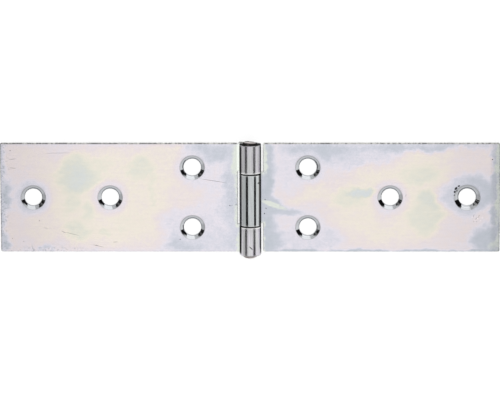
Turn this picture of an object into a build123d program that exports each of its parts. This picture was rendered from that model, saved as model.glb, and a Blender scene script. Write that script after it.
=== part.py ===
# Table hinge of zinc-plated steel strip, laid open and flat.
# A fixed leaf with a knuckle at each end and a swing leaf with one centre knuckle turn on a riveted pin.
# Each leaf is one strip whose end is curled round the pin, so its back stays flush with the knuckles.
# The origin is on the flat back, midway along the pin. X runs across the leaves, Y along the pin, Z up.
import os
from math import asin, degrees

from build123d import *

# Driving dimensions, in millimetres and degrees
open_length = 160.0  # free end to free end, with the leaves laid flat
leaf_height = 35.0  # measured along the pin
sheet = 1.5  # thickness of the strip
pin_diameter = 3.7
pin_clearance = 0.05  # radial play between the pin and the curled bores
end_knuckle = 9.5  # length of each knuckle of the fixed leaf
knuckle_overhang = 0.6  # how far the end knuckles stand past the leaves' long edges
knuckle_play = 0.15  # axial play at each side of the centre knuckle
seam_gap = 0.15  # from the curled end of a strip to its own leaf
centre_notch_room = 0.6  # from the centre knuckle to the notched edge of the fixed leaf
end_knuckle_room = 0.6  # from the end knuckles to the cut edges beside them on both leaves
corner_radius = 0.4  # outer corners of the blank, seen from the front
notch_radius = 0.3  # inner corners of the blank
edge_break = 0.2  # sheared edges after tumbling
hole_diameter = 5.5
sink_diameter = 7.8
sink_angle = 90.0
pair_offset = 18.5  # pin axis to the pair of holes beside the knuckles
pair_spacing = 19.5
end_hole_inset = 10.5  # free end of a leaf to the outermost hole on its centre line
row_spacing = 24.5  # between the two holes on the centre line
rivet_diameter = 4.6
rivet_height = 0.9

# Sizes that follow from them
leaf_reach = open_length / 2
half_height = leaf_height / 2
pin_radius = pin_diameter / 2
bore_radius = pin_radius + pin_clearance
knuckle_radius = bore_radius + sheet
pin_axis = Axis((0, 0, knuckle_radius), (0, 1, 0))
curl_angle = 270 + degrees(asin((knuckle_radius - sheet - seam_gap) / knuckle_radius))
pin_half = half_height + knuckle_overhang  # from the middle to the outer face of an end knuckle
gap_half = pin_half - end_knuckle  # half the room between the two end knuckles
centre_half = gap_half - knuckle_play  # half the centre knuckle's length
end_hole = leaf_reach - end_hole_inset  # pin axis to the outermost hole

# Each leaf is drawn on a side view whose local x points from its free end towards the pin.
fixed_side = Plane(origin=(0, 0, 0), x_dir=(1, 0, 0), z_dir=(0, -1, 0))
swing_side = Plane(origin=(0, 0, 0), x_dir=(-1, 0, 0), z_dir=(0, 1, 0))


def curled_strip(side):
    """Side view of a flat strip that runs in under the pin and curls round it to the seam."""
    with BuildSketch(side) as section:
        with BuildLine():
            back = Line((-leaf_reach, 0), (0, 0))
            outside = CenterArc((0, knuckle_radius), knuckle_radius, -90, curl_angle)
            inside = CenterArc((0, knuckle_radius), bore_radius, -90, curl_angle)
            Line(outside @ 1, inside @ 1)
            front = Line(inside @ 0, (-leaf_reach, sheet))
            Line(front @ 1, back @ 0)
        make_face()
    return section.sketch


def notch_corners(leaf):
    """Edges through the sheet's thickness in the inner corners between the knuckles and the flat."""
    reach = (gap_half + half_height) / 2
    return leaf.edges().filter_by(Axis.Z).filter_by_position(Axis.Y, -reach, reach)


def outer_corners(leaf):
    """Edges through the sheet's thickness at the leaf's long edges, sorted across the leaf."""
    return (leaf.edges().filter_by(Axis.Z) - notch_corners(leaf)).sort_by(Axis.X)


def sheared_edges(leaf):
    """Every edge left by cutting the blank, along the flat leaf and round the ends of its knuckles."""
    along_pin = leaf.edges().filter_by(Axis.Y).filter_by(lambda edge: abs(edge.center().X) > knuckle_radius)
    return leaf.edges().filter_by(Axis.X) + along_pin + leaf.edges().filter_by(GeomType.CIRCLE)


def screw_places(direction):
    """Centres of one leaf's screw holes on its front face, towards -X or +X."""
    pair = [(direction * pair_offset, y, sheet) for y in (-pair_spacing / 2, pair_spacing / 2)]
    row = [(direction * x, 0, sheet) for x in (end_hole - row_spacing, end_hole)]
    return pair + row


# Fixed leaf: the centre of its curl is cut away for the other leaf's knuckle, and its flat is cut to height
with BuildPart() as fixed_leaf:
    extrude(curled_strip(fixed_side), amount=pin_half, both=True)
    with BuildSketch(Plane.XY):
        with Locations((-knuckle_radius - centre_notch_room, 0)):
            Rectangle(leaf_reach, 2 * gap_half, align=(Align.MIN, Align.CENTER))
        for y, align in ((half_height, Align.MIN), (-half_height, Align.MAX)):
            with Locations((-knuckle_radius - end_knuckle_room, y)):
                Rectangle(leaf_reach, leaf_height, align=(Align.MAX, align))
    extrude(amount=2 * knuckle_radius, mode=Mode.SUBTRACT)
    fillet(outer_corners(fixed_leaf)[:2], corner_radius)
    fillet(notch_corners(fixed_leaf), notch_radius)
    chamfer(sheared_edges(fixed_leaf), edge_break)
    with Locations(*screw_places(-1)):
        CounterSinkHole(hole_diameter / 2, sink_diameter / 2, counter_sink_angle=sink_angle)

# Swing leaf: the two ends of its curl are cut away beside the other leaf's knuckles
with BuildPart() as swing_leaf:
    extrude(curled_strip(swing_side), amount=half_height, both=True)
    with BuildSketch(Plane.XY):
        for y, align in ((centre_half, Align.MIN), (-centre_half, Align.MAX)):
            with Locations((knuckle_radius + end_knuckle_room, y)):
                Rectangle(leaf_reach, leaf_height, align=(Align.MAX, align))
    extrude(amount=2 * knuckle_radius, mode=Mode.SUBTRACT)
    fillet(outer_corners(swing_leaf), corner_radius)
    fillet(notch_corners(swing_leaf), notch_radius)
    chamfer(sheared_edges(swing_leaf), edge_break)
    with Locations(*screw_places(1)):
        CounterSinkHole(hole_diameter / 2, sink_diameter / 2, counter_sink_angle=sink_angle)

# Hinge pin: a plain shank whose ends are peened over the outer faces of the end knuckles
with BuildPart() as hinge_pin:
    with BuildSketch(Plane.XY.offset(knuckle_radius)):
        with BuildLine():
            Line((0, 0), (pin_radius, 0))
            shank = Line((pin_radius, 0), (pin_radius, pin_half))
            seat = Line(shank @ 1, (rivet_diameter / 2, pin_half))
            dome = TangentArc((0, pin_half + rivet_height), seat @ 1, tangent=(1, 0))
            Line(dome @ 0, (0, 0))
        make_face()
        mirror(about=Plane.XZ)
    revolve(axis=pin_axis)

os.makedirs("parts", exist_ok=True)
for name, piece in (
    ("fixed_leaf", fixed_leaf),
    ("swing_leaf", swing_leaf),
    ("hinge_pin", hinge_pin),
):
    piece.part.label = name
    export_step(piece.part, f"parts/{name}.step")
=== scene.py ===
# Steel table hinge, zinc plated and blue passivated, laid open and flat on a pale plate.
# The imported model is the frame; each strip and the pin are made again here as numpy surfaces
# with their real edges.
from math import cos, degrees, radians, sin

import bpy
import numpy as np
from mathutils import Euler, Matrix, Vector


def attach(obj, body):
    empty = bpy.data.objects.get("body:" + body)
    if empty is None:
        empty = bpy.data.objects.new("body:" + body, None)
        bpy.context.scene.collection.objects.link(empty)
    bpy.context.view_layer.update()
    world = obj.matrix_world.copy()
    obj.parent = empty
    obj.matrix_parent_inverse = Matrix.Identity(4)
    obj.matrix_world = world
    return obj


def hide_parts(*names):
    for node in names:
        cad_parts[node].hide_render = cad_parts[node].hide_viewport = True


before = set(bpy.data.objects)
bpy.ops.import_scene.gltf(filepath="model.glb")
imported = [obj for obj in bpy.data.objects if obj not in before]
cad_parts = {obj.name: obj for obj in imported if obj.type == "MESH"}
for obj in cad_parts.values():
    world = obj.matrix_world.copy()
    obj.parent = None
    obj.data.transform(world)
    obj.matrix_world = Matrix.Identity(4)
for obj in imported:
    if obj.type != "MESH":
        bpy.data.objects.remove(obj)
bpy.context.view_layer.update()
scene = bpy.context.scene
scene.view_settings.view_transform = "Standard"
mm = 0.001  # everything below is written in millimetres and put into the meshes in metres
print("frame loaded:", ", ".join(sorted(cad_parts)))


# Shader wiring
class Wire:
    # wraps one output socket; arithmetic on it adds Math nodes to the same tree
    def __init__(self, socket):
        self.socket = socket
        self.tree = socket.id_data

    @classmethod
    def node(cls, tree, kind, settings=None, sockets=None, out=0):
        # any node: settings first, then the values or links of its sockets; gives back one output
        made = tree.nodes.new(kind)
        for name, value in (settings or {}).items():
            if name == "stops":
                ramp = made.color_ramp
                while len(ramp.elements) < len(value):
                    ramp.elements.new(0.5)
                for element, (place, tone) in zip(ramp.elements, value):
                    element.position = place
                    element.color = colour(*tone)
            else:
                setattr(made, name, value)
        for name, value in (sockets or {}).items():
            if isinstance(value, Wire):
                tree.links.new(value.socket, made.inputs[name])
            else:
                made.inputs[name].default_value = value
        return cls(made.outputs[out]) if made.outputs else None

    def out(self, name):
        # another output of the same node
        return Wire(self.socket.node.outputs[name])

    def math(self, operation, *values):
        return Wire.node(self.tree, "ShaderNodeMath", {"operation": operation}, dict(enumerate(values)))

    def __add__(self, other):
        return self.math("ADD", self, other)

    def __sub__(self, other):
        return self.math("SUBTRACT", self, other)

    def __rsub__(self, other):
        return self.math("SUBTRACT", other, self)

    def __mul__(self, other):
        return self.math("MULTIPLY", self, other)

    def __abs__(self):
        return self.math("ABSOLUTE", self)

    __radd__ = __add__
    __rmul__ = __mul__

    def larger(self, other):
        return self.math("MAXIMUM", self, other)

    def swing(self, amount):
        # a noise turned into a value that swings about 0
        return (self - 0.5) * amount

    def step(self, low, high):
        # 0 at low, 1 at high, eased between; low may be the larger one
        return Wire.node(self.tree, "ShaderNodeMapRange", {"interpolation_type": "SMOOTHSTEP"},
                         {"Value": self, "From Min": low, "From Max": high})

    def above(self, edge, soft):
        # 1 above an edge that fades over soft to either side
        return self.step(edge - soft, edge + soft)

    def below(self, edge, soft):
        return self.step(edge + soft, edge - soft)

    def toward(self, other, share):
        # this value where share is 0 and the other where it is 1
        return self * (1 - share) + share * other

    def tint(self, first, second):
        # the colour first where this value is 0 and second where it is 1
        # inputs 6 and 7 of a Mix node are its two colours, and output 2 is the mixed one
        return Wire.node(self.tree, "ShaderNodeMix", {"data_type": "RGBA"},
                         {0: self, 6: first, 7: second}, out=2)

    def darkened(self, shade):
        # this colour multiplied by a grey
        return Wire.node(self.tree, "ShaderNodeMix", {"data_type": "RGBA", "blend_type": "MULTIPLY"},
                         {0: 1.0, 6: self, 7: shade}, out=2)


def colour(red, green, blue):
    return (red, green, blue, 1.0)


def newMaterial(label):
    material = bpy.data.materials.new(label)
    material.use_nodes = True
    material.node_tree.nodes.clear()
    return material, material.node_tree


white = colour(1, 1, 1)

# Camera: a long lens over the middle of the hinge, leaning towards the far long edge
cameraSet = {
    "lean": 12.6, "sway": -0.7, "distance": 1458.0, "aim": (-0.03, -0.77, 1.5),
    "lens": 327.7, "sensor": 36.0, "clip": (10.0, 20000.0),
}


def placeCamera(spec):
    lens = bpy.data.cameras.new("camera")
    lens.sensor_width = spec["sensor"]
    lens.lens = spec["lens"]
    lens.clip_start, lens.clip_end = (place * mm for place in spec["clip"])
    made = bpy.data.objects.new("camera", lens)
    scene.collection.objects.link(made)
    lean, sway = radians(spec["lean"]), radians(spec["sway"])
    turn = Euler((-lean, -sway, sway * sin(lean)))  # the last turn keeps the long edges level
    made.rotation_euler = turn
    made.location = (Vector(spec["aim"]) + turn.to_matrix() @ Vector((0, 0, spec["distance"]))) * mm
    scene.camera = made


placeCamera(cameraSet)
print("camera placed")

# Studio: one long soft box overhead, two dark cards beside the lens, side panels down to the floor
# and a low back light. The cards are placed in degrees from overhead, seen along the pin. The rest
# is placed by the parts of a direction of length 1: across the hinge, along the pin and up.
studioSet = {
    "cardLean": 3.0, "cardFrom": 31.0, "cardTo": 56.5, "cardSoft": 2.5, "cardLevel": 0.01,
    "cardMiddle": -0.21, "cardHalf": 0.16, "cardEndSoft": 0.04,  # how far the cards reach along the pin
    "boxLevel": 1.0, "leftPanel": 0.68, "rightPanel": 1.08, "panelSoft": 0.05,
    "panelFade": (0.18, 0.4),  # past the cards' ends the panels take the box's level
    "gapFrom": 0.0, "gapFromSoft": 0.03, "gapTo": 0.67, "gapToSoft": 0.02,  # dark, before the back light
    "gapHeight": 0.51, "gapHeightSoft": 0.025, "gapLevel": 0.01,
    "backHeight": 0.66, "backSoft": 0.03, "backLevel": 1.5, "backDim": 0.8, "backFade": (-0.3, -0.2),
    "plainLevel": 1.0, "belowFade": (0.0, -0.02),  # what the camera sees, and what lies below the floor
}


def makeStudio(spec):
    world = bpy.data.worlds.new("studio")
    scene.world = world
    world.use_nodes = True
    tree = world.node_tree
    tree.nodes.clear()
    split = Wire.node(tree, "ShaderNodeSeparateXYZ", None, {0: Wire.node(tree, "ShaderNodeTexCoord")})
    x, y, z = (split.out(i) for i in range(3))
    away = abs(x.math("ARCTAN2", x, z) * degrees(1) - spec["cardLean"])
    along = abs(y - spec["cardMiddle"])
    beyondBox = away.above(spec["cardFrom"], spec["cardSoft"])
    card = beyondBox * away.below(spec["cardTo"], spec["cardSoft"])
    card = card * along.below(spec["cardHalf"], spec["cardEndSoft"])
    panel = x.above(0.0, spec["panelSoft"]) * (spec["rightPanel"] - spec["leftPanel"]) + spec["leftPanel"]
    panel = panel.toward(spec["boxLevel"], along.step(*spec["panelFade"]))
    level = panel * beyondBox + (1 - beyondBox) * spec["boxLevel"]
    level = level.toward(spec["cardLevel"], card)
    gap = y.above(spec["gapFrom"], spec["gapFromSoft"]) * y.below(spec["gapTo"], spec["gapToSoft"])
    level = level.toward(spec["gapLevel"], gap * z.below(spec["gapHeight"], spec["gapHeightSoft"]))
    back = y.above(spec["gapTo"], spec["gapToSoft"]) * z.below(spec["backHeight"], spec["backSoft"])
    backLevel = x.step(*spec["backFade"]) * (spec["backLevel"] - spec["backDim"]) + spec["backDim"]
    level = level.toward(backLevel, back)
    seen = Wire.node(tree, "ShaderNodeLightPath").out("Is Camera Ray")
    level = level.toward(spec["plainLevel"], seen.larger(z.step(*spec["belowFade"])))
    glow = Wire.node(tree, "ShaderNodeBackground", None, {"Color": white, "Strength": level})
    Wire.node(tree, "ShaderNodeOutputWorld", None, {"Surface": glow})


makeStudio(studioSet)

# Floor: a pale see-through plate on white, so that a leaf turned below it still shows
floorSet = {"half": 2000.0, "height": -0.03, "body": 0.3, "paint": 0.8, "glow": 0.45}


def makeFloor(spec):
    half = spec["half"]
    corners = np.array([[-half, -half], [half, -half], [half, half], [-half, half]])
    points = np.column_stack([corners, np.full(4, spec["height"])]) * mm
    mesh = bpy.data.meshes.new("floor")
    mesh.from_pydata(points.tolist(), [], [[0, 1, 2, 3]])
    made = bpy.data.objects.new("floor", mesh)
    scene.collection.objects.link(made)
    material, tree = newMaterial("paleFloor")
    paint = Wire.node(tree, "ShaderNodeBsdfDiffuse", None, {"Color": colour(*[spec["paint"]] * 3)})
    path = Wire.node(tree, "ShaderNodeLightPath")
    shown = path.out("Is Camera Ray").larger(path.out("Is Glossy Ray"))
    shown = shown.larger(path.out("Is Transmission Ray")) * spec["glow"]
    glow = Wire.node(tree, "ShaderNodeEmission", None, {"Color": white, "Strength": shown})
    lit = Wire.node(tree, "ShaderNodeAddShader", None, {0: paint, 1: glow})
    clear = Wire.node(tree, "ShaderNodeBsdfTransparent")
    plate = Wire.node(tree, "ShaderNodeMixShader", None, {0: spec["body"], 1: clear, 2: lit})
    Wire.node(tree, "ShaderNodeOutputMaterial", None, {"Surface": plate})
    mesh.materials.append(material)


makeFloor(floorSet)
print("studio and floor ready")


# Mesh helpers
def addPiece(name, points, faces, values, sharp=40.0):
    # one mesh object from whole arrays: points in millimetres, faces in groups of one size, point
    # values by name; edges that turn by more than sharp degrees stay crisp
    mesh = bpy.data.meshes.new(name)
    mesh.from_pydata((points * mm).tolist(), [], [face for group in faces for face in group.tolist()])
    for label, column in values.items():
        layer = mesh.attributes.new(label, "FLOAT", "POINT")
        layer.data.foreach_set("value", np.ascontiguousarray(column, np.float32))
    mesh.shade_smooth()
    mesh.set_sharp_from_angle(angle=radians(sharp))
    mesh.update()
    made = bpy.data.objects.new(name, mesh)
    scene.collection.objects.link(made)
    print(name, "has", len(mesh.vertices), "points and", len(mesh.polygons), "faces")
    return made


def smooth(low, high, value):
    # eased step from 0 at low to 1 at high
    t = np.clip((value - low) / (high - low), 0.0, 1.0)
    return t * t * (3 - 2 * t)


def cutLines(places, largest):
    # sorted places, with every gap between two of them cut evenly into cells no longer than largest
    places = np.unique(np.round(places, 4))
    runs = [np.linspace(a, b, int(np.ceil((b - a) / largest - 1e-6)) + 1)
            for a, b in zip(places, places[1:])]
    return np.unique(np.round(np.concatenate(runs), 6))


# Film of passivation: how thick it is over each leaf, from 0 at cut edges to 1 where it pooled
filmSet = {
    "base": 0.44,
    "fixed": (  # x, y, half width, half height, turn, film, softness
        (-43.5, -0.5, 23.5, 16.2, 0, 0.62, 0.25), (-27.5, 12.5, 7.6, 6.2, 0, 0.60, 0.25),
        (-66.3, -9.4, 7.5, 5.0, 0, 0.57, 0.4), (-66.0, 7.0, 5.5, 7.0, 0, 0.55, 0.5),
        (-73.0, 12.9, 8.0, 5.0, 0, 0.52, 0.4), (-75.0, 5.5, 5.0, 6.0, 0, 0.45, 0.5),
        (-76.0, -9.5, 4.0, 5.5, 0, 0.49, 0.4), (-19.8, -9.0, 9.4, 8.0, 0, 0.34, 0.3),
        (-12.0, 5.0, 7.5, 10.0, 0, 0.37, 0.3), (-21.0, 0.2, 6.0, 3.4, 0, 0.52, 0.4),
        (-12.4, 15.2, 9.2, 3.9, 0, 0.15, 0.35), (-20.5, -15.2, 6.4, 4.0, 0, 0.15, 0.45),
        (-11.0, -14.6, 6.4, 4.4, 0, 0.27, 0.45), (-7.2, -3.2, 3.2, 6.4, 0, 0.27, 0.45),
        (-6.6, 4.2, 1.8, 5.4, 0, 0.16, 0.6), (-78.8, 0.6, 2.6, 4.8, 0, 0.06, 0.6),
        (-79.6, -15.2, 1.9, 4.2, 0, 0.1, 0.6), (-65.7, -16.9, 2.7, 2.0, 0, 0.22, 0.3),
        (-65.7, -17.3, 1.7, 1.2, 0, 0.47, 0.3), (-54.8, 8.4, 6.8, 5.4, 0, 0.77, 0.4),
        (-48.5, 10.5, 4.4, 2.6, 0, 0.71, 0.5), (-55.0, 6.6, 6.0, 5.2, -8, 0.83, 0.4),
        (-55.4, 6.0, 3.0, 3.4, 0, 0.93, 0.7), (-57.2, -1.2, 2.5, 3.4, 0, 0.75, 0.5),
        (-52.2, -4.6, 1.7, 2.6, 10, 0.77, 0.5), (-55.6, -11.0, 4.2, 3.0, 0, 0.76, 0.5),
        (-46.0, -11.6, 1.6, 1.6, 0, 0.75, 0.5), (-35.3, 9.6, 3.7, 4.3, 0, 0.77, 0.4),
        (-31.3, 2.5, 0.9, 7.5, -4, 0.70, 0.6), (-39.0, -9.5, 2.4, 2.0, 0, 0.66, 0.6),
    ),
    "swing": (
        (45.0, -2.6, 20.0, 13.0, 0, 0.61, 0.3), (57.5, 10.2, 13.5, 6.4, 18, 0.60, 0.35),
        (17.0, 1.8, 9.0, 3.7, 0, 0.6, 0.4), (33.0, 13.7, 14.5, 3.7, 9, 0.29, 0.4),
        (12.0, 9.4, 5.6, 9.4, 0, 0.36, 0.4), (31.5, -13.2, 5.0, 3.0, 0, 0.53, 0.6),
        (20.0, -13.8, 9.5, 4.4, 0, 0.28, 0.4), (20.5, 15.6, 9.6, 3.4, -6, 0.13, 0.5),
        (53.0, 17.4, 26.0, 2.4, 0, 0.14, 0.5), (5.6, 1.0, 1.2, 20.0, 0, 0.0, 0.8),
        (7.0, -13.4, 3.8, 5.4, 0, 0.13, 0.6), (7.5, -2.8, 4.5, 2.6, -16, 0.1, 0.6),
        (11.6, -4.3, 6.4, 1.3, -14, 0.12, 0.5), (10.6, -7.2, 5.2, 1.4, -17, 0.38, 0.5),
        (31.5, -0.2, 5.6, 3.0, 8, 0.77, 0.45), (36.9, 1.8, 5.2, 1.2, 12, 1.0, 0.6),
        (54.8, 7.6, 6.0, 3.3, 0, 0.76, 0.5), (56.4, -6.4, 5.4, 6.4, 0, 0.78, 0.4),
        (57.0, -0.4, 3.2, 2.5, 0, 0.84, 0.5), (42.7, -6.8, 3.4, 2.4, 0, 0.51, 0.5),
        (70.0, 12.4, 7.6, 4.4, 0, 0.50, 0.4), (67.0, -10.8, 6.0, 4.4, 0, 0.47, 0.4),
        (68.6, 1.2, 7.6, 6.4, 0, 0.24, 0.35), (74.0, 1.8, 4.6, 5.0, 0, 0.09, 0.4),
        (77.0, -14.0, 5.8, 4.8, 0, 0.07, 0.45), (78.8, 1.0, 1.6, 16.0, 0, 0.13, 0.45),
    ),
    # bands along the edges and round the holes: where each starts, where it is full, and its strength
    "kneeBand": (5.0, 1.4, 0.8), "endBand": (2.2, 0.2, 1.0), "longBand": (1.8, 0.0, 0.6),
    "thinBand": (0.9, 0.2, 1.0), "holeBand": (7.2, 4.3, 0.75),
    "endFilm": 0.2, "longFilm": 0.34, "thinFilm": 0.05,
}
# Bare strips beside the knuckle and along a free end, and rubbed edges: where each fade starts and is full
bareSet = {
    "haloFade": (1.5, 0.35), "haloEnds": (-3.0, 1.5),
    "endFade": (2.0, 0.7), "endRise": (2.0, 14.0), "endLeast": 0.7,
    # a wiped streak and a worn corner: x, y, half width, half height, turn, how bare
    "dabs": ((7.4, -2.3, 4.8, 0.85, -20, 1.0), (78.0, -15.8, 2.4, 1.6, 30, 0.6)),
    "dabFade": (1.4, 0.3), "wearEnd": (3.8, 0.3), "wearLong": (2.6, 0.0), "wearFrom": (-46.0, -62.0),
}


def fromDab(x, y, cx, cy, halfX, halfY, turn):
    # how far a point lies from the middle of a turned ellipse, 1 on its edge
    ca, sa = cos(radians(turn)), sin(radians(turn))
    along = ((x - cx) * ca + (y - cy) * sa) / halfX
    over = ((y - cy) * ca - (x - cx) * sa) / halfY
    return np.hypot(along, over)


def filmOver(x, y, dabs, base):
    # dabs laid over one another: each eases the film towards its own value inside a soft, wavy ellipse
    # both places are shifted by three sines, each finer and weaker than the one before
    wavyX = x + 0.7 * np.sin(0.61 * y + 0.23 * x) + 0.4 * np.sin(1.7 * y - 0.8 * x + 1.3)
    wavyX = wavyX + 0.2 * np.sin(3.7 * y + 1.4 * x)
    wavyY = y + 0.5 * np.sin(0.53 * x - 0.31 * y + 0.6) + 0.3 * np.sin(1.3 * x + 0.9 * y + 2.1)
    wavyY = wavyY + 0.15 * np.sin(3.3 * x - y)
    film = np.full_like(x, base)
    for *dab, thickness, soft in dabs:
        film = film + (thickness - film) * smooth(1 + soft, 1 - soft, fromDab(wavyX, wavyY, *dab))
    return film


# Leaves, drawn on the blank before rolling: u from the free end to the pin and on round it, v along the pin
leafPlan = {
    "reach": 80.0, "halfHeight": 17.77, "rollRadius": 3.4, "rollTurn": 301.0,
    "holes": ((-69.5, 0.0), (-44.85, 0.0), (-18.5, -9.8), (-18.5, 9.8)),
    "holeBlock": 3.0, "blendReach": 4.8,  # half of the square cut round a hole, and where its fan ends
    "sideCells": 16, "largestCell": 0.6, "rollCells": 96, "edgeCell": 0.5,
    "cornerCut": 0.14,  # corners of the outline step in a little more than its edges
    # where the edge of the flat turns into that of the roll, where the roll's look starts, and where
    # the curl starts to spring and to slide: millimetres along u, radians round the pin, height
    "edgeBlend": (-2.0, 0.5), "rollBlend": (-1.0, 0.6), "slideFrom": (-3.5, -0.5),
    "springFrom": (0.4, 1.4), "springHeight": (1.2, 0.2),
    "chatterAcross": (0.0, 0.5), "chatterAlong": (0.3, -0.2),  # the side of a countersink with tool chatter
    # each row down the sheared edge of the flat and of the roll is an inset and a height above the back,
    # each row down a hole is a radius and a height
    "flatEdge": ((0.24, 1.5), (0.11, 1.46), (0.03, 1.38), (0.0, 1.24), (0.0, 0.8), (0.02, 0.45),
                 (0.04, 0.2), (0.1, 0.06), (0.2, 0.0)),
    "rollEdge": ((0.2, 1.5), (0.1, 1.47), (0.03, 1.42), (0.0, 1.3), (0.0, 0.8), (0.0, 0.26),
                 (0.03, 0.12), (0.08, 0.04), (0.18, 0.0)),
    "holeWall": ((4.04, 1.5), (3.99, 1.49), (3.95, 1.468), (3.9, 1.435), (3.4, 1.085), (2.85, 0.7),
                 (2.8, 0.64), (2.78, 0.06), (2.84, 0.0)),
    # how far a deeper countersink widens and lowers each of those rows
    "sinkWide": (1.0, 1.0, 1.0, 1.0, 0.5, 0.0, 0.0, 0.0, 0.0),
    "sinkLow": (0.0, 0.0, 0.0, 0.0, 0.35, 0.7, 0.7, 0.0, 0.0),
}

# What sets each leaf apart: its stretch of the roll from the middle of the pin, how its curl springs,
# its countersinks in the order of the holes, its film and bare strips, its painted rim highlights, its wear,
# and the painted shade on its knuckle
fixedLeaf = {
    "name": "fixedLeafStrip", "body": "fixed_side", "node": "fixed_leaf", "side": 1, "film": "fixed",
    "rollFrom": 8.6, "rollTo": 18.1, "joint": 8.6, "notchEdge": -3.9,
    "oval": 0.07, "wide": 0.08, "offset": -0.1, "slide": 0.1,
    "sinkSpread": (0.0, 0.0, 0.0, 0.0), "chatter": (0.4, 0.4, 0.3, 0.3),
    "kneeFilm": 0.18, "holeFilm": (0.22, 0.33, 0.33, 0.33), "thinEdge": 0.0,
    "halo": 0.9, "haloWidth": 1.3, "haloSlope": 0.04, "haloFrom": -3.0, "endHalo": 0.0,
    "rim": 1.0, "wear": 1.0, "polish": 0.0, "flankShade": 0.75, "flankShadeTo": 119.0, "seamShade": 0.97,
}
swingLeaf = {
    "name": "swingLeafStrip", "body": "swing_side", "node": "swing_leaf", "side": -1, "film": "swing",
    "rollFrom": -1.0, "rollTo": 8.45, "joint": 8.45, "notchEdge": -4.1,
    "oval": 0.10, "wide": 0.06, "offset": 0.09, "slide": 0.1,
    "sinkSpread": (0.2, 0.0, 0.0, 0.0), "chatter": (1.0, 0.6, 0.5, 0.5),
    "kneeFilm": 0.03, "holeFilm": (0.2, 0.33, 0.33, 0.33), "thinEdge": 1.0,
    "halo": 0.95, "haloWidth": 1.0, "haloSlope": 0.02, "haloFrom": 8.4, "endHalo": 1.0,
    "rim": 0.35, "wear": 0.5, "polish": 1.0, "flankShade": 0.8, "flankShadeTo": 127.0, "seamShade": 0.95,
}


def rollUp(u, v, w, leaf, plan):
    # blank to space: flat up to u = 0, then an arc about the pin; w is measured up from the back
    # the outside springs a little oval, wide and off centre: its arm grows and shrinks twice a turn
    radius = plan["rollRadius"]
    turn = np.maximum(u, 0.0) / radius
    outside = smooth(*plan["springFrom"], turn) * smooth(*plan["springHeight"], w)
    arm = radius - w + (leaf["oval"] * np.sin(2 * turn) + leaf["wide"] * np.sin(turn) ** 2) * outside
    x = np.where(u < 0, u, arm * np.sin(turn) - leaf["offset"] * outside)
    z = np.where(u < 0, w, radius - arm * np.cos(turn))
    return np.stack([x, v - leaf["slide"] * smooth(*plan["slideFrom"], u), z], -1)


def blankGrid(leaf, plan):
    # grid over the blank with lines at every edge and a fan of lines through each hole's square
    block, edge, half = plan["holeBlock"], plan["edgeCell"], plan["halfHeight"]
    notch, rollFrom, rollTo = leaf["notchEdge"], leaf["rollFrom"], leaf["rollTo"]
    turnEnd = plan["rollRadius"] * radians(plan["rollTurn"])
    holes = np.array(plan["holes"])
    fan = block * np.tan(np.linspace(-np.pi / 4, np.pi / 4, plan["sideCells"] + 1))  # even round a hole
    uPlaces = [-plan["reach"], edge - plan["reach"], notch - edge, notch, notch + edge, 0.0]
    vPlaces = [half, half - edge, rollTo]
    if rollTo < half:  # the roll ends inside the long edges
        vPlaces += [rollTo - edge]
    if rollFrom > 0:  # the middle of the roll is cut away
        vPlaces += [rollFrom, rollFrom + edge]
    vPlaces = np.array(vPlaces)
    uPlaces = np.concatenate([uPlaces] + [fan + h for h in np.unique(holes[:, 0])])
    vPlaces = np.concatenate([[0.0], vPlaces, -vPlaces] + [fan + h for h in np.unique(holes[:, 1])])
    rollLines = np.linspace(0, turnEnd - edge, plan["rollCells"])[1:]
    uLines = np.concatenate([cutLines(uPlaces, plan["largestCell"]), rollLines, [turnEnd]])
    vLines = cutLines(vPlaces, plan["largestCell"])
    uMid, vMid = np.meshgrid((uLines[1:] + uLines[:-1]) / 2, (vLines[1:] + vLines[:-1]) / 2, indexing="ij")

    # cells of metal: the flat up to its notches, the roll, and no metal in the square of a hole
    inRoll = (np.abs(vMid) > rollFrom) & (np.abs(vMid) < rollTo)
    outline = ((np.abs(vMid) < half) & (uMid < notch)) | (inRoll & (uMid > notch))
    offset = np.abs(np.stack([uMid, vMid])[:, None] - holes.T[:, :, None, None]).max(0)
    cells = outline & (offset > block).all(0)

    # inward direction at each node of the outline, from the four cells round it
    pad = np.pad(outline, 1).astype(int)
    lowLow, highLow, lowHigh, highHigh = pad[:-1, :-1], pad[1:, :-1], pad[:-1, 1:], pad[1:, 1:]
    u, v = np.meshgrid(uLines, vLines, indexing="ij")
    ring = np.abs(np.stack([u, v])[:, None] - holes.T[:, :, None, None]).max(0)
    return {"u": u, "v": v, "cells": cells, "holes": holes, "ring": ring,
            "inU": np.sign(highLow + highHigh - lowLow - lowHigh),
            "inV": np.sign(lowHigh + highHigh - lowLow - highLow),
            "corner": (lowLow + highLow + lowHigh + highHigh == 1) * plan["cornerCut"],
            "onHole": (np.abs(ring - block) < 1e-6).any(0)}


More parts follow.
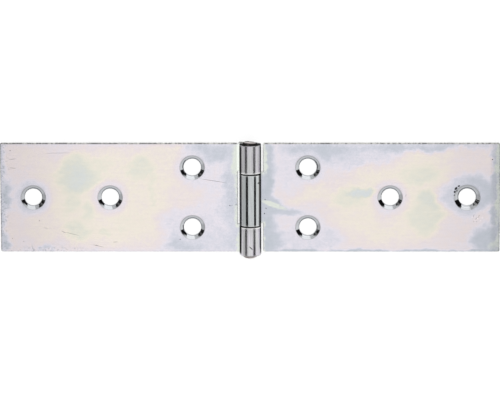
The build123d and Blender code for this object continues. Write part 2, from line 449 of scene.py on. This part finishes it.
def sheetRow(leaf, grid, plan, k):
    # layer k of the sheet: the outline stepped in by its edge profile, hole squares drawn out to circles
    (flatIn, flatUp), (rollIn, rollHigh) = plan["flatEdge"][k], plan["rollEdge"][k]
    radius, height = plan["holeWall"][k]
    rolling = smooth(*plan["edgeBlend"], grid["u"])
    inset = flatIn + (rollIn - flatIn) * rolling + grid["corner"] * (1 - rolling)
    u, v = grid["u"] + grid["inU"] * inset, grid["v"] + grid["inV"] * inset
    block, reach = plan["holeBlock"], plan["blendReach"]
    for (hu, hv), ring, spread in zip(grid["holes"], grid["ring"], leaf["sinkSpread"]):
        inside = (ring < reach) & (ring > block - 1e-6)
        share = np.clip((ring - block) / (reach - block), 0, 1)
        pu, pv = grid["u"] - hu, grid["v"] - hv
        circle = (radius + spread * plan["sinkWide"][k]) / np.maximum(np.hypot(pu, pv), 1e-9)
        scale = (1 - share) * circle + share * reach / np.maximum(ring, 1e-9)
        u, v = np.where(inside, hu + pu * scale, u), np.where(inside, hv + pv * scale, v)
    near = np.argmin(grid["ring"], 0)
    low = np.array(leaf["sinkSpread"])[near] * plan["sinkLow"][k]
    w = np.where(grid["onHole"], height - low, flatUp + (rollHigh - flatUp) * rolling)
    return u, v, w


def sheetFaces(cells, layers):
    # front sheet, back sheet, and walls down every border between metal and none
    shape = (cells.shape[0] + 1, cells.shape[1] + 1)
    count = shape[0] * shape[1]
    index = np.arange(count).reshape(shape)
    i, j = np.nonzero(cells)
    front = np.stack([index[i, j], index[i + 1, j], index[i + 1, j + 1], index[i, j + 1]], 1)
    back = front[:, ::-1] + (layers - 1) * count
    metal = np.pad(cells, 1).astype(int)
    alongU = metal[1:-1, 1:] - metal[1:-1, :-1]  # +1 where metal lies on the far side of the line
    alongV = metal[1:, 1:-1] - metal[:-1, 1:-1]
    starts, ends = [], []
    for sign in (1, -1):
        i, j = np.nonzero(alongU == sign)
        k, n = np.nonzero(alongV == -sign)
        low = np.concatenate([index[i, j], index[k, n]])
        high = np.concatenate([index[i + 1, j], index[k, n + 1]])
        starts.append(low if sign > 0 else high)
        ends.append(high if sign > 0 else low)
    a, b = np.concatenate(starts), np.concatenate(ends)
    lift = (np.arange(layers - 1) * count)[:, None]
    walls = np.stack([a + lift, a + lift + count, b + lift + count, b + lift], -1).reshape(-1, 4)
    return np.concatenate([front, back, walls])


# How strongly each row of a leaf takes a look, from the front to the back
rowLook = {
    "flatCut": (0.1, 0.2, 0.4, 0.5, 0.5, 0.5, 0.5, 0.3, 0.0),
    "farCut": (0.3, 1.0, 1.0, 1.0, 1.0, 1.0, 1.0, 0.6, 0.0),
    "endCut": (0.3, 0.75, 0.75, 0.75, 0.75, 0.75, 0.75, 0.45, 0.0),
    "rollCut": (0.0, 0.5, 1.0, 1.0, 1.0, 1.0, 1.0, 1.0, 0.3),  # on the roll, from the inside to the outside
    "rollRimHighlight": (0.0, 0.0, 0.0, 0.0, 0.0, 0.0, 0.0, 0.0, 1.0),
    "notchWall": (0.4, 0.9, 1.0, 1.0, 1.0, 0.6, 0.0, 0.0, 0.0),
    "sink": (0.0, 0.6, 1.0, 1.0, 1.0, 1.0, 1.0, 1.0, 0.0),
    "sinkLipShade": (0.3, 1.0, 1.3, 0.8, 0.0, 0.9, 1.0, 0.5, 0.0),
    "back": (0.0, 0.0, 0.0, 0.0, 0.0, 0.0, 0.0, 1.0, 1.0),
}
# Brightness along a leaf, as a start, a full place and a gain; painted shade on the lips of holes; painted
# highlights on parts of the roll and beside its seam
toneSet = {
    "falls": ((-44.0, -79.0, -0.14), (45.0, 79.0, -0.10), (76.4, 78.2, -0.14)), "rightLeaf": -0.015,
    "lip": 0.28, "upperLipShade": 0.2, "upperShadeReach": (6.0, 5.0), "upperShadeFade": (-0.5, 2.5),
    "seam": 0.3, "seamHighlightNear": 0.1, "seamHighlightFade": (-4.3, -3.8),
    "nearRollHighlight": 0.12, "nearHighlightFade": (-8.0, -11.0), "flankRollHighlight": 0.09, "flankHighlightFade": (205, 218),
}
# Edges: places in millimetres, turns in degrees round the roll from under the pin
edgeSet = {
    "endFace": 17.0, "freeEnd": -79.0, "notchFade": (-6.0, -5.0), "notchHighlight": 0.95, "notchPale": 0.8,
    "highlightReach": (0.7, 0.4), "highlightTop": (18, 40), "highlightLeast": 0.4,
    "flankShadeFrom": (84, 90), "flankShadeFade": 5, "seamShadeFrom": (229, 237), "seamShadeTo": (276, 270),
    "flankShadeEnd": (17.7, 17.2), "farShadeFade": (118, 90), "farShadeLow": 0.5, "farShadeTop": 0.48,
    "nearFaceShade": 0.3, "nearCut": 0.6,
}


def leafPlaces(leaf, plan, grid, u, v):
    # where each point lies: millimetres from the edges and holes, degrees round the roll
    # the distances from edges wander by sums of three sines, so that no band runs straight
    x = np.minimum(u, 0.0) * leaf["side"]
    wander = 0.35 * np.sin(0.43 * v + 0.4) + 0.25 * np.sin(1.1 * v + 1.0) + 0.12 * np.sin(2.9 * v)
    ripple = 0.3 * np.sin(0.31 * x) + 0.2 * np.sin(0.83 * x + 1.0) + 0.1 * np.sin(2.1 * x)
    return {
        "u": u, "v": v, "x": x, "near": np.argmin(grid["ring"], 0), "roll": smooth(*plan["rollBlend"], u),
        "turn": np.degrees(np.maximum(u, 0) / plan["rollRadius"]),
        "toKnuckle": np.abs(x) + leaf["notchEdge"] + wander,
        "toEnd": plan["reach"] - np.abs(x) + wander,
        "toLong": plan["halfHeight"] - np.abs(v) + ripple,
        "toHole": np.min(np.stack([np.hypot(u - hu, v - hv) for hu, hv in grid["holes"]]), 0),
    }


def leafFilm(leaf, at, rows):
    # the dabs, mirrored on the back, then bands that ease towards a film of their own
    v = at["v"]
    film = filmOver(at["x"], np.where(rows["back"] > 0, -v, v), filmSet[leaf["film"]], filmSet["base"])
    bands = (  # name, distance, film, and the part of the leaf that has it
        ("kneeBand", at["toKnuckle"], leaf["kneeFilm"], 1.0),
        ("endBand", at["toEnd"], filmSet["endFilm"], 1.0),
        ("longBand", at["toLong"], filmSet["longFilm"], 1.0),
        ("thinBand", at["toLong"], filmSet["thinFilm"], leaf["thinEdge"] * (v < 0)),
        ("holeBand", at["toHole"], np.array(leaf["holeFilm"])[at["near"]], 1.0),
    )
    for name, distance, thickness, part in bands:
        start, full, strength = filmSet[name]
        film = film + (thickness - film) * smooth(start, full, distance) * strength * part
    return film


def leafHalo(leaf, at, spec):
    # bare strips beside the knuckle and along the free end, and the places wiped or worn bare
    v = at["v"]
    width = leaf["haloWidth"] + leaf["haloSlope"] * v
    halo = leaf["halo"] * smooth(*spec["haloFade"], at["toKnuckle"] / width)
    halo = halo * smooth(*spec["haloEnds"], np.abs(v) - leaf["haloFrom"])
    stronger = spec["endLeast"] + (1 - spec["endLeast"]) * smooth(*spec["endRise"], v)
    halo = np.maximum(halo, leaf["endHalo"] * smooth(*spec["endFade"], at["toEnd"]) * stronger)
    for *dab, strength in spec["dabs"]:
        halo = np.maximum(halo, strength * smooth(*spec["dabFade"], fromDab(at["x"], v, *dab)))
    return halo


def leafWear(leaf, at, spec):
    # rubbed along the free end and along the near edge of the left leaf
    nearEdge = smooth(*spec["wearLong"], at["toLong"]) * smooth(*spec["wearFrom"], at["x"]) * (at["v"] < 0)
    return leaf["wear"] * np.maximum(smooth(*spec["wearEnd"], at["toEnd"]), nearEdge)


def leafTone(leaf, grid, at, rows, spec):
    # falls along the leaf, painted shade on the lips of the countersinks, painted highlights beside the seam
    # and on parts of the roll
    u, v, roll = at["u"], at["v"], at["roll"]
    tone = 1 + spec["rightLeaf"] * (at["x"] > 0)
    for start, full, gain in spec["falls"]:
        tone = tone + gain * smooth(start, full, at["x"])
    # painted shade on the lips of the countersinks, stronger over the upper half of each hole
    upperShade = [smooth(*spec["upperShadeReach"], np.hypot(u - hu, v - hv)) * smooth(*spec["upperShadeFade"], v - hv)
             for hu, hv in grid["holes"]]
    lip = spec["lip"] + spec["upperLipShade"] * np.max(np.stack(upperShade), 0)
    tone = tone * (1 - lip * rows["sinkLipShade"] * grid["onHole"])
    # painted highlight on the leaf beside the seam
    paintedSeamShading = smooth(*spec["seamHighlightFade"], u) * (u < 0) * (np.abs(v) > leaf["joint"])
    tone = tone + leaf["rim"] * spec["seam"] * paintedSeamShading * np.where(v > 0, 1.0, spec["seamHighlightNear"])
    # painted highlight on the roll towards the near end and over one flank past its top
    paintedFlankShading = (1 - leaf["polish"]) * smooth(*spec["flankHighlightFade"], at["turn"])
    return tone + roll * (spec["nearRollHighlight"] * smooth(*spec["nearHighlightFade"], v) + spec["flankRollHighlight"] * paintedFlankShading)


def leafEdges(leaf, grid, at, rows, spec):
    # painted highlights on the roll's joint rims and the notch walls, painted shade on the flanks and end
    # faces of the roll, and dull cuts along the outline
    u, v, turn, roll = at["u"], at["v"], at["turn"], at["roll"]
    fromTop = np.abs(turn - 180)  # of the knuckle
    farEnd, nearEnd = v > spec["endFace"], v < -spec["endFace"]
    onEdge = ((grid["inU"] != 0) | (grid["inV"] != 0)) & ~grid["onHole"]
    onNotch = (grid["inU"] != 0) * smooth(*spec["notchFade"], u)

    # painted highlight: pale rims at the knuckle's joint ends, weaker near the top of the knuckle, and on
    # the notch walls
    rim = leaf["rim"] * rows["rollRimHighlight"] * roll * smooth(*spec["highlightReach"], np.abs(np.abs(v) - leaf["joint"]))
    rim = rim * (spec["highlightLeast"] + (1 - spec["highlightLeast"]) * smooth(*spec["highlightTop"], fromTop))
    rim = np.maximum(rim, spec["notchHighlight"] * rows["notchWall"] * onNotch * (1 - roll))

    # painted shade: dark bands along the knuckle's flanks beside the leaf and by the seam, and on its end
    # faces, the far one darkest at its top
    under = smooth(*spec["flankShadeFrom"], turn)
    under = under * smooth(leaf["flankShadeTo"], leaf["flankShadeTo"] - spec["flankShadeFade"], turn)
    paintedSeamShading = smooth(*spec["seamShadeFrom"], turn) * smooth(*spec["seamShadeTo"], turn)
    paintedFlankShading = np.maximum(leaf["flankShade"] * under, leaf["seamShade"] * paintedSeamShading)
    farFaceShade = spec["farShadeLow"] + spec["farShadeTop"] * smooth(*spec["farShadeFade"], fromTop)
    endFace = np.where(farEnd, farFaceShade, np.where(nearEnd, spec["nearFaceShade"], 1.0))
    soot = np.maximum(paintedFlankShading * smooth(*spec["flankShadeEnd"], np.abs(v)), rows["rollCut"] * onEdge * endFace)

    cut = np.where(farEnd, rows["farCut"], np.where(u < spec["freeEnd"], rows["endCut"], rows["flatCut"]))
    cut = cut * (1 - roll) * (1 - spec["notchPale"] * onNotch)
    cut = np.maximum(cut, spec["nearCut"] * rows["rollCut"] * roll * nearEnd)
    return {"rim": rim, "soot": soot * roll, "cutEdge": onEdge * cut}


def leafSinks(leaf, plan, grid, at, rows, w):
    # countersinks: how much is turned metal, its height, its direction from the hole, and its chatter
    hole = grid["holes"][at["near"]]
    away = np.stack([(at["u"] - hole[..., 0]) * leaf["side"], at["v"] - hole[..., 1]])
    away = away / np.maximum(np.hypot(*away), 1e-6)
    oneSide = smooth(*plan["chatterAcross"], away[0]) * smooth(*plan["chatterAlong"], away[1])
    chatter = np.array(leaf["chatter"])[at["near"]] * oneSide
    sink = rows["sink"] * grid["onHole"]
    return {"sink": sink, "sinkDepth": w * grid["onHole"], "chatter": chatter * sink,
            "sinkX": away[0], "sinkY": away[1]}


def sheetValues(leaf, plan, grid, u, v, w):
    # what the finish needs at each point, by name
    at = leafPlaces(leaf, plan, grid, u, v)
    rows = {name: np.array(row)[:, None, None] for name, row in rowLook.items()}
    values = {"film": leafFilm(leaf, at, rows), "halo": leafHalo(leaf, at, bareSet),
              "wear": leafWear(leaf, at, bareSet), "tone": leafTone(leaf, grid, at, rows, toneSet),
              "roll": at["roll"]}
    values.update(leafEdges(leaf, grid, at, rows, edgeSet))
    values.update(leafSinks(leaf, plan, grid, at, rows, w))
    values["polish"] = np.full_like(u, leaf["polish"])
    return values


def makeLeaf(leaf, plan):
    # front, edge rows and back are layers of one grid, carried from the blank to space and walled
    # along the outline
    grid = blankGrid(leaf, plan)
    layers = len(plan["flatEdge"])
    u, v, w = (np.stack(part) for part in zip(*[sheetRow(leaf, grid, plan, k) for k in range(layers)]))
    points = rollUp(u, v, w, leaf, plan) * (leaf["side"], 1, 1)
    faces = sheetFaces(grid["cells"], layers)[:, ::leaf["side"]]
    values = sheetValues(leaf, plan, grid, u, v, w)
    used, faces = np.unique(faces, return_inverse=True)
    columns = {label: np.broadcast_to(value, u.shape).reshape(-1)[used] for label, value in values.items()}
    made = addPiece(leaf["name"], points.reshape(-1, 3)[used], [faces.reshape(-1, 4)], columns)
    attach(made, leaf["body"])
    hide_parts(leaf["node"])
    return made


fixedStrip = makeLeaf(fixedLeaf, leafPlan)
swingStrip = makeLeaf(swingLeaf, leafPlan)

# Pin: a wire with both ends hammered over, the far head low and the near one full
pinPlan = {
    "radius": 1.85, "axisHeight": 3.4, "seat": 18.1, "headRadius": 2.3, "lip": 0.24, "slide": 0.1,
    "farHead": 0.74, "farLean": 0.16, "nearHead": 1.3, "nearLean": 0.08, "leanTo": 2.4, "dent": 0.05,
    "sides": 72, "domeRows": 12, "shankRows": 9,
    "rimStep": 0.06, "seatGap": 0.01, "neckGap": 0.02, "neckStep": 0.05, "headFrom": 0.1, "leastHead": 0.12,
    "raggedFrom": 1.6, "sharp": 50.0,
    # painted shade by radius, and by height above the axis
    "farRimShade": (1.85, 2.15), "lowShadeFade": (0.7, 0.0), "lowShadeShare": 0.85,
    "nearRimShade": (2.0, 2.25), "nearShadeShare": 0.5,
}


def headProfile(plan, height):
    # radius and place along the pin, from near the tip over the dome and the lip to the shank
    bow = np.linspace(0.0, np.pi / 2, plan["domeRows"])[1:]
    rim, seat, lip, radius = plan["headRadius"], plan["seat"], plan["lip"], plan["radius"]
    dome = np.column_stack([rim * np.sin(bow), seat + lip + (height - lip) * np.cos(bow)])
    under = [[rim, seat + plan["rimStep"]], [rim - plan["rimStep"], seat + plan["seatGap"]],
             [radius + plan["neckGap"], seat + plan["seatGap"]], [radius, seat - plan["neckStep"]]]
    return np.concatenate([dome, under])


def makePin(plan):
    # a profile of radius and place along the pin, carried round the axis
    # the rims of the heads are ragged by two sines, and the domes lean to one side and carry dents
    seat, sides, rowCount = plan["seat"], plan["sides"], plan["shankRows"]
    shank = np.column_stack([np.full(rowCount, plan["radius"]), np.linspace(seat - 1, 1 - seat, rowCount)])
    far, near = headProfile(plan, plan["farHead"]), headProfile(plan, plan["nearHead"])[::-1] * (1, -1)
    profile = np.concatenate([far, shank, near])
    angle = np.arange(sides) * 2 * np.pi / sides
    radius, place = profile[:, :1], profile[:, 1:]
    headPart = smooth(seat, seat + plan["headFrom"], np.abs(place))
    ragged = 0.03 * np.sin(2 * angle + 0.7) + 0.02 * np.sin(5 * angle + 1.9)
    arm = radius * (1 + headPart * smooth(plan["raggedFrom"], plan["headRadius"], radius) * ragged)
    lean = np.where(place > 0, plan["farLean"], plan["nearLean"])
    tilt = lean * radius / plan["headRadius"] * np.cos(angle - plan["leanTo"])
    dents = plan["dent"] * np.sin(3 * angle + 2.2 * radius) * np.sin(1.9 * radius)
    # half of the lean is taken back, so that the high side doesn't stand too proud
    dome = np.maximum(np.abs(place) + tilt - np.abs(tilt) * 0.5 + dents, seat + plan["leastHead"])
    outward = np.where(np.abs(place) > seat + plan["headFrom"], dome, np.abs(place))
    y = np.sign(place) * outward - plan["slide"]
    x, z = arm * np.cos(angle), plan["axisHeight"] + arm * np.sin(angle)
    ends = (seat + plan["farHead"] - plan["slide"], -seat - plan["nearHead"] - plan["slide"])
    tips = [[0, end, plan["axisHeight"]] for end in ends]
    points = np.concatenate([np.stack([x, y, z], -1).reshape(-1, 3), tips])
    rows = len(profile)
    index = np.arange(rows * sides).reshape(rows, sides)
    after = np.roll(index, -1, 1)
    quads = np.stack([index[:-1], after[:-1], after[1:], index[1:]], -1).reshape(-1, 4)
    farFan = np.column_stack([np.full(sides, rows * sides), after[0], index[0]])
    nearFan = np.column_stack([np.full(sides, rows * sides + 1), index[-1], after[-1]])
    # painted shade: the far head is dark at its rim and over its lower half, the near one only at its rim
    low = plan["lowShadeShare"] * smooth(*plan["lowShadeFade"], arm * np.sin(angle))
    farHeadShade = np.maximum(smooth(*plan["farRimShade"], radius), low)
    lip = headPart * np.where(place > 0, farHeadShade, plan["nearShadeShare"] * smooth(*plan["nearRimShade"], radius))
    values = {"hammered": headPart, "lip": lip}
    columns = {label: np.concatenate([np.broadcast_to(value, x.shape).reshape(-1), [tip, tip]])
               for (label, value), tip in zip(values.items(), (1, 0))}
    made = addPiece("hammeredPin", points, [quads, farFan, nearFan], columns, plan["sharp"])
    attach(made, "fixed_side")
    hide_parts("hinge_pin")
    return made


pin = makePin(pinPlan)
print("pieces made")

# Finishes: tones are linear colours, scales are noises per metre and each swing moves a value both ways
zincSet = {
    "filmStops": (  # colour of the film by thickness
        (0.0, (0.53, 0.57, 0.625)), (0.08, (0.57, 0.60, 0.66)), (0.16, (0.61, 0.63, 0.70)),
        (0.24, (0.69, 0.695, 0.77)), (0.36, (0.80, 0.765, 0.83)), (0.49, (0.83, 0.75, 0.755)),
        (0.63, (0.865, 0.80, 0.715)), (0.73, (0.81, 0.785, 0.69)), (0.84, (0.74, 0.745, 0.68)),
        (1.00, (0.69, 0.725, 0.735))),
    "cloudScale": 230.0, "patchScale": 760.0, "grainScale": 2300.0, "wearScale": 1700.0,
    "filmCloud": 0.2, "filmPatch": 0.15, "filmGrain": 0.09, "shadeGrain": 0.10, "shadeDrawn": 0.08,
    "drawnScale": (120.0, 2600.0, 400.0),  # rolling marks, fine across the strip and long along it
    "bareTone": (0.75, 0.787, 0.725), "bareMiddle": 0.95, "bareCloud": 2.8, "barePatch": 1.8,
    "bareFade": (0.1, 0.95), "wornTone": (0.44, 0.48, 0.52), "wearFade": (0.53, 0.64), "wearTint": 0.5,
    "wearDark": 0.1,
    "rollTones": ((0.56, 0.56, 0.565), (0.575, 0.55, 0.60)), "rollGreen": (0.525, 0.56, 0.56),
    "lilacScale": (700.0, 245.0, 700.0), "lilacFade": (0.35, 0.7), "greenShare": 0.75,
    "burnishScale": (2200.0, 160.0, 2200.0), "shadeBurnish": 0.55,
    "sinkTones": ((0.46, 0.475, 0.50), (0.74, 0.755, 0.78)), "ringScale": 6.0, "ringFade": (0.4, 0.6),
    "chatterTone": (0.42, 0.42, 0.42), "chatterScale": 13.0, "chatterFade": (0.47, 0.6), "chatterShare": 0.8,
    "cutTones": ((0.15, 0.15, 0.145), (0.57, 0.57, 0.535)), "tornScale": (1300.0, 1300.0, 250.0),
    "tornRough": 0.6, "tornCloud": 0.6, "tornPolish": 0.05, "tornFade": (0.40, 0.64),
    "paintedHighlightTone": (0.97, 0.97, 0.96), "paintedShadeTone": (0.018, 0.018, 0.018),
    "roughness": 0.14, "roughCloud": 0.06, "roughDrawn": 0.05, "roughMarks": 0.3, "roughCut": 0.35,
    "rollRough": 0.21, "polishRough": 0.09, "burnishRough": 0.12, "sinkRough": 0.05,
    "bumpStrength": 0.12, "bumpDepth": 0.03,
    "bumpGrain": 0.6, "bumpDrawn": 0.5, "bumpTorn": 3.0, "bumpBurnish": 0.8,
    "leafTop": 1.5, "knuckleTop": 6.0, "knuckleReach": 3.6, "markReach": 0.7, "markFade": (1.0, 0.5),
    "markDepth": 1.35,
    # scratches and specks on the front: x, y, half length, half width, turn, shade; minus is dark
    "marks": (
        (-11.6, 5.5, 5.0, 0.14, -9, -0.33), (2.75, 5.7, 0.36, 0.3, 0, -0.7),
        (-6.5, -2.6, 0.26, 0.22, 0, -0.55), (-5.8, -2.5, 0.18, 0.18, 0, -0.4),
        (-4.5, -2.3, 0.22, 0.22, 0, -0.55), (4.8, -0.6, 0.24, 0.22, 0, -0.55),
        (5.1, -3.5, 0.24, 0.22, 0, -0.55), (4.6, -5.2, 0.26, 0.24, 0, -0.6),
        (-76.7, 15.4, 0.28, 0.22, 0, -0.4), (-76.0, 12.6, 1.4, 0.13, 8, -0.28),
        (-76.0, 9.7, 1.4, 0.13, -6, -0.28), (-61.6, 14.6, 5.6, 0.11, 1, -0.18),
        (-67.6, -7.6, 0.3, 0.16, 20, -0.4), (-65.6, -10.0, 0.9, 0.12, -14, -0.2),
        (-59.9, -11.3, 1.0, 0.14, -25, -0.28), (-57.2, -11.9, 3.0, 0.12, -14, -0.24),
        (-48.8, -15.9, 2.4, 0.12, -12, -0.26), (-43.3, -14.6, 1.0, 0.13, 4, -0.24),
        (-49.4, -15.7, 0.6, 0.2, -10, -0.22), (-76.3, -13.4, 0.2, 0.16, 0, -0.4),
        (-72.7, -14.4, 0.2, 0.16, 0, -0.4), (-22.5, -13.7, 0.24, 0.2, 0, -0.6),
        (0.3, -15.4, 1.0, 0.2, -45, -0.7), (77.5, 12.5, 0.26, 0.24, 0, -0.6),
        (65.9, 3.0, 0.75, 0.5, 50, -0.7), (66.8, 3.8, 0.55, 0.35, 20, -0.65),
        (65.5, 1.9, 0.5, 0.42, 75, -0.7), (66.2, 2.2, 0.4, 0.3, 0, -0.6),
        (65.4, 0.8, 0.35, 0.28, 0, -0.55), (49.9, 0.7, 0.6, 0.12, 70, -0.25),
        (71.6, -6.0, 0.8, 0.13, 65, -0.28), (72.4, -6.9, 0.9, 0.13, 40, -0.28),
        (73.2, -6.2, 0.6, 0.12, 80, -0.24), (71.2, -6.4, 0.25, 0.2, 0, 0.16),
        (72.0, -7.3, 0.3, 0.2, 30, 0.16), (72.9, -6.8, 0.25, 0.2, 0, 0.15),
        (73.8, -7.5, 0.25, 0.18, 0, 0.14), (74.4, -6.6, 0.25, 0.2, 0, 0.14),
        (72.6, -7.9, 0.25, 0.18, 0, -0.2), (71.6, -7.8, 0.22, 0.18, 0, -0.2),
        (73.5, -5.9, 0.22, 0.18, 0, -0.2),
    ),
}
wireSet = {
    "mottleScale": 900.0, "mottleTones": ((0.36, 0.32, 0.31), (0.66, 0.60, 0.59)), "mottleFade": (0.3, 0.7),
    "wornScale": 2600.0, "wornTone": (0.16, 0.13, 0.12), "wornFade": (0.56, 0.68),
    "lipShadeTone": (0.02, 0.018, 0.017), "roughness": 0.24, "roughWorn": 0.25,
    "bumpStrength": 0.35, "bumpDepth": 0.08, "bumpWorn": 0.3,
}


def objectPoint(tree):
    return Wire.node(tree, "ShaderNodeTexCoord", out=3)


def noise(tree, point, scale, detail=3.0, rough=0.55):
    return Wire.node(tree, "ShaderNodeTexNoise", None,
                     {"Vector": point, "Scale": scale, "Detail": detail, "Roughness": rough})


def streaked(tree, point, scales, detail=3.0, rough=0.55):
    # a noise with a scale of its own along each axis
    stretched = Wire.node(tree, "ShaderNodeMapping", None, {"Vector": point, "Scale": scales})
    return noise(tree, stretched, 1.0, detail, rough)


def stored(tree, label):
    # a point value of the mesh
    return Wire.node(tree, "ShaderNodeAttribute", {"attribute_name": label}, out=2)


def between(share, tones):
    # from the first tone to the second
    return share.tint(*[colour(*tone) for tone in tones])


def bumped(tree, spec, height):
    depth = spec["bumpDepth"] * mm
    return Wire.node(tree, "ShaderNodeBump", None,
                     {"Strength": spec["bumpStrength"], "Distance": depth, "Height": height})


def metal(tree, base, rough, normal):
    return Wire.node(tree, "ShaderNodeBsdfPrincipled", None,
                     {"Base Color": base, "Metallic": 1.0, "Roughness": rough, "Normal": normal})


def covered(tree, shader, share, tone):
    # a dull coat of one tone over a share of the surface
    dull = Wire.node(tree, "ShaderNodeBsdfDiffuse", None, {"Color": colour(*tone)})
    return Wire.node(tree, "ShaderNodeMixShader", None, {0: share, 1: shader, 2: dull})


def markShade(tree, point, spec):
    # each mark is a soft ellipse on the front, gone before the back
    total = 0.0
    for x, y, length, width, turn, strength in spec["marks"]:
        top = spec["leafTop"] if abs(x) > spec["knuckleReach"] else spec["knuckleTop"]
        size = (length * mm, width * mm, top * spec["markReach"] * mm)
        local = Wire.node(tree, "ShaderNodeMapping", {"vector_type": "TEXTURE"},
                          {"Vector": point, "Location": (x * mm, y * mm, top * mm),
                           "Rotation": (0, 0, radians(turn)), "Scale": size})
        far = Wire.node(tree, "ShaderNodeVectorMath", {"operation": "LENGTH"}, {0: local}, out=1)
        total = far.step(*spec["markFade"]) * strength + total
    return total * spec["markDepth"]


def zincFinish(spec):
    material, tree = newMaterial("bluePassivatedZinc")
    point = objectPoint(tree)
    cloud = noise(tree, point, spec["cloudScale"], detail=5.0)
    patch = noise(tree, point, spec["patchScale"])
    grain = noise(tree, point, spec["grainScale"])
    polish = stored(tree, "polish")

    # the film's colour, with bare metal through it in broken strips
    film = stored(tree, "film") + cloud.swing(spec["filmCloud"]) + patch.swing(spec["filmPatch"])
    film = film + grain.swing(spec["filmGrain"])
    base = Wire.node(tree, "ShaderNodeValToRGB", {"stops": spec["filmStops"]}, {0: film})
    broken = cloud.swing(spec["bareCloud"]) + patch.swing(spec["barePatch"]) + spec["bareMiddle"]
    bare = stored(tree, "halo") * broken
    base = bare.step(*spec["bareFade"]).tint(base, colour(*spec["bareTone"]))

    # fine rolling marks along the strip, a mottle, the scratches and rubbed spots
    drawn = streaked(tree, point, spec["drawnScale"], detail=4.0)
    marks = markShade(tree, point, spec)
    mottle = grain.swing(spec["shadeGrain"]) + drawn.swing(spec["shadeDrawn"]) + 1.0
    spots = noise(tree, point, spec["wearScale"], detail=2.0).step(*spec["wearFade"])
    wear = stored(tree, "wear") * spots
    base = (wear * spec["wearTint"]).tint(base, colour(*spec["wornTone"]))
    shade = mottle * stored(tree, "tone") * (marks + 1.0) * (1 - wear * spec["wearDark"])

    # the roll: a thinner film, burnished round the pin and greener where it is polished
    roll = stored(tree, "roll")
    burnish = streaked(tree, point, spec["burnishScale"])
    rolled = between(streaked(tree, point, spec["lilacScale"]).step(*spec["lilacFade"]), spec["rollTones"])
    rolled = (polish * spec["greenShare"]).tint(rolled, colour(*spec["rollGreen"]))
    base = roll.tint(base, rolled)
    shade = shade * (roll * burnish.swing(spec["shadeBurnish"]) + 1.0)

    # countersinks turned bright, with tool rings down them and dull chatter across them
    sink = stored(tree, "sink")
    depth = Wire.node(tree, "ShaderNodeCombineXYZ", None, {0: stored(tree, "sinkDepth") * spec["ringScale"]})
    rings = noise(tree, depth, 1.0, detail=2.0).step(*spec["ringFade"])
    base = sink.tint(base, between(rings, spec["sinkTones"]))
    aroundHole = Wire.node(tree, "ShaderNodeCombineXYZ", None,
                           {0: stored(tree, "sinkX"), 1: stored(tree, "sinkY")})
    chatter = noise(tree, aroundHole, spec["chatterScale"], detail=1.0).step(*spec["chatterFade"])
    chatter = chatter * stored(tree, "chatter") * spec["chatterShare"]

    # sheared edges: dull, torn in short runs along the cut
    cut = stored(tree, "cutEdge")
    torn = streaked(tree, point, spec["tornScale"], rough=spec["tornRough"])
    torn = torn + cloud.swing(spec["tornCloud"]) + polish * spec["tornPolish"]
    base = cut.tint(base, between(torn.step(*spec["tornFade"]), spec["cutTones"]))

    rollRough = spec["rollRough"] - polish * spec["polishRough"] + burnish.swing(spec["burnishRough"])
    rough = spec["roughness"] + cloud.swing(spec["roughCloud"]) + drawn.swing(spec["roughDrawn"])
    rough = rough.toward(rollRough, roll) + cut * spec["roughCut"] - marks * spec["roughMarks"]
    rough = rough.toward(spec["sinkRough"], sink)
    height = (grain * spec["bumpGrain"] + drawn * spec["bumpDrawn"]) * (1 - sink)
    height = height + torn * cut * spec["bumpTorn"] + burnish * roll * spec["bumpBurnish"]
    shader = metal(tree, base.darkened(shade), rough, bumped(tree, spec, height))
    # painted highlight on the rims, dull chatter in the countersinks, and painted shade on the knuckle's
    # flanks and ends
    for share, tone in ((stored(tree, "rim"), spec["paintedHighlightTone"]), (chatter, spec["chatterTone"]),
                        (stored(tree, "soot"), spec["paintedShadeTone"])):
        shader = covered(tree, shader, share, tone)
    Wire.node(tree, "ShaderNodeOutputMaterial", None, {"Surface": shader})
    return material


def pinFinish(spec):
    material, tree = newMaterial("hammeredWire")
    point = objectPoint(tree)
    mottle = noise(tree, point, spec["mottleScale"], detail=4.0)
    worn = noise(tree, point, spec["wornScale"])
    base = between(mottle.step(*spec["mottleFade"]), spec["mottleTones"])
    base = (stored(tree, "hammered") * worn.step(*spec["wornFade"])).tint(base, colour(*spec["wornTone"]))
    rough = spec["roughness"] + worn.swing(spec["roughWorn"])
    bump = bumped(tree, spec, mottle + worn * spec["bumpWorn"])
    # painted shade over the heads' rims and the far head's underside
    shader = covered(tree, metal(tree, base, rough, bump), stored(tree, "lip"), spec["lipShadeTone"])
    Wire.node(tree, "ShaderNodeOutputMaterial", None, {"Surface": shader})
    return material


zinc = zincFinish(zincSet)
for strip in (fixedStrip, swingStrip):
    strip.data.materials.append(zinc)
pin.data.materials.append(pinFinish(wireSet))
print("finishes ready")
